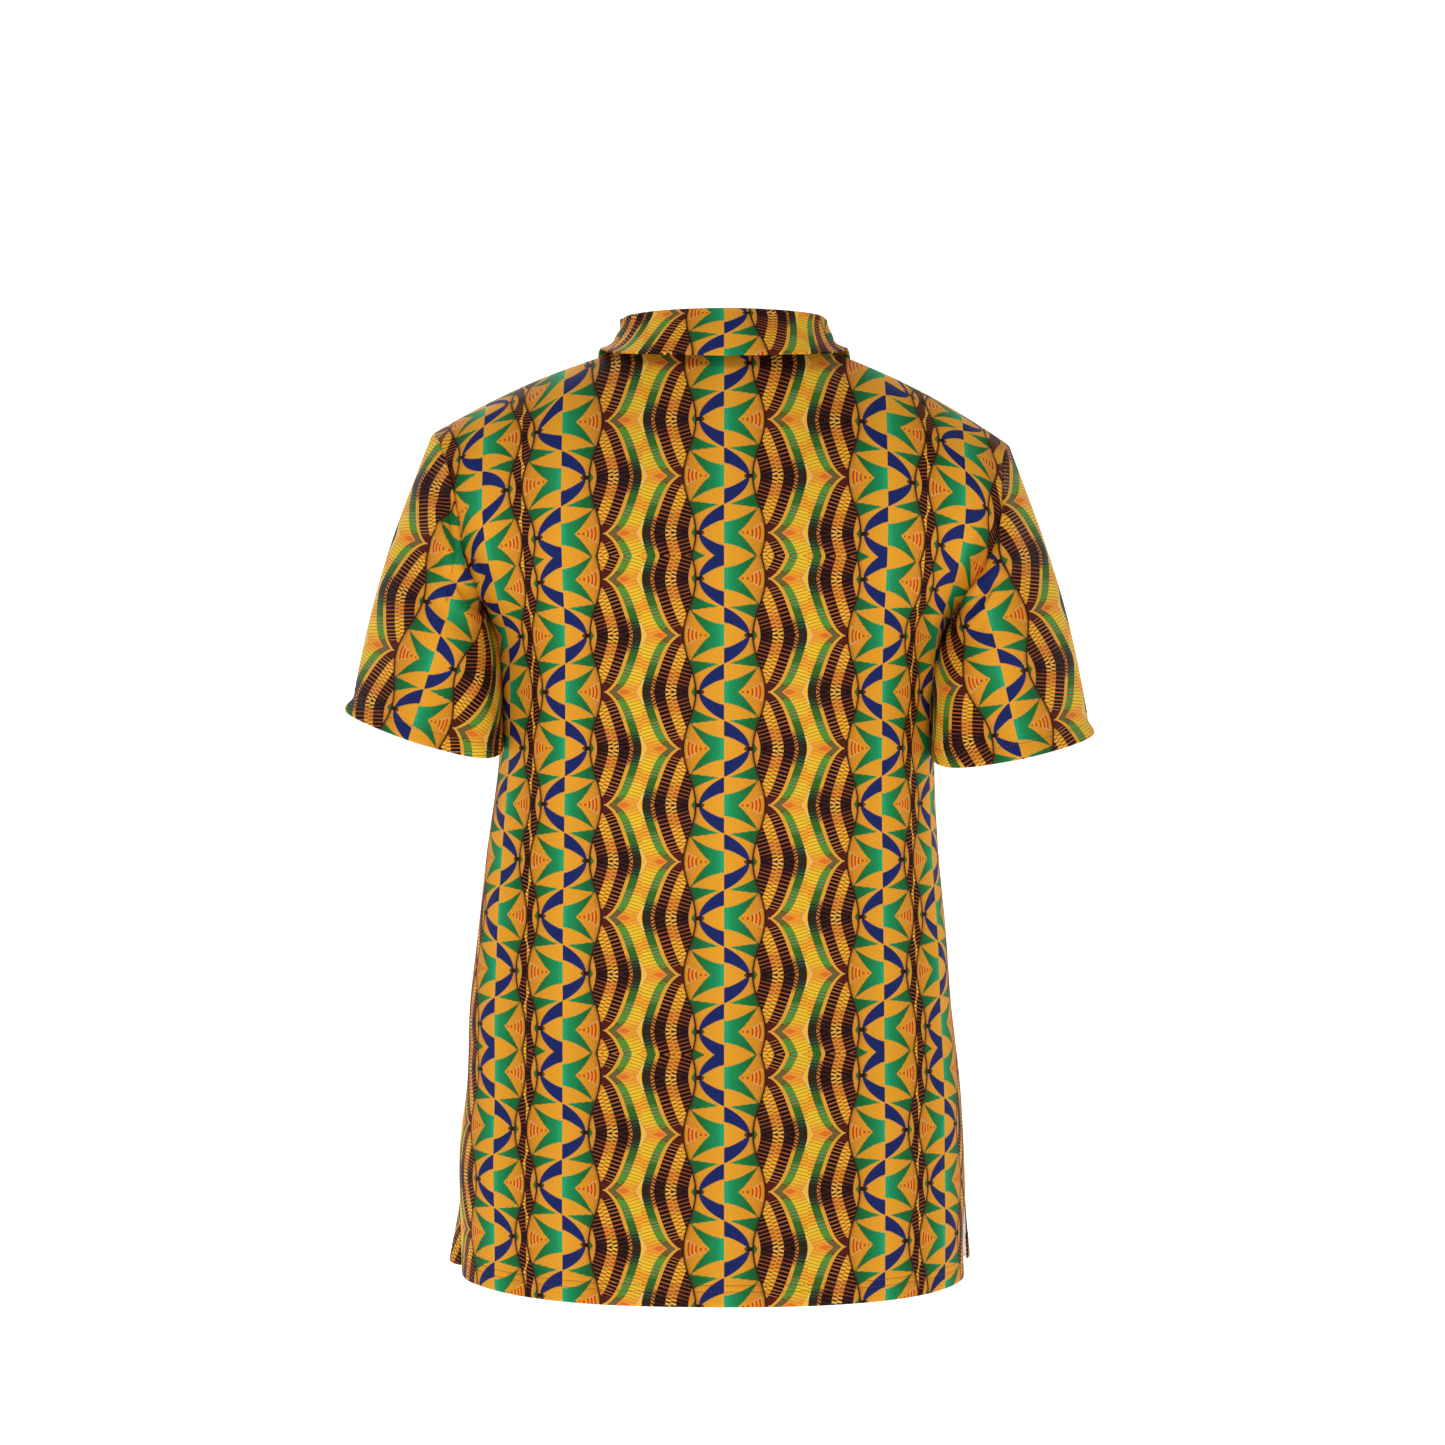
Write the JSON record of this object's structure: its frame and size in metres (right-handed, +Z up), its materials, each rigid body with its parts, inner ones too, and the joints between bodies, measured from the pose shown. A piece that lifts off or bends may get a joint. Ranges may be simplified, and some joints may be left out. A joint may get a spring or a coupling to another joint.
{
  "type": "polo shirt",
  "caption": "Short-sleeved polo shirt, hollow and open as worn, with turned-down collar, buttoned front placket and side vents.",
  "frame": {"origin": "on the centre line, level with the back neck seam, midway between front and back where a wearer's neck and shoulders hold the shirt", "axes": "+Z up, -Y is the shirt's front, +X is the wearer's left"},
  "size_m": [0.5879, 0.2635, 0.7562],
  "materials": {
    "shirt_cloth": "smooth printed knit with a slight sheen, white inside",
    "button": "polished"
  },
  "bodies": {
    "root": {"back": "shirt_cloth", "front": "shirt_cloth", "sleeve_left": "shirt_cloth", "sleeve_right": "shirt_cloth", "collar": "shirt_cloth", "placket_over": "shirt_cloth", "placket_under": "shirt_cloth", "button_1": "button", "button_2": "button", "button_3": "button"}
  },
  "joints": []
}
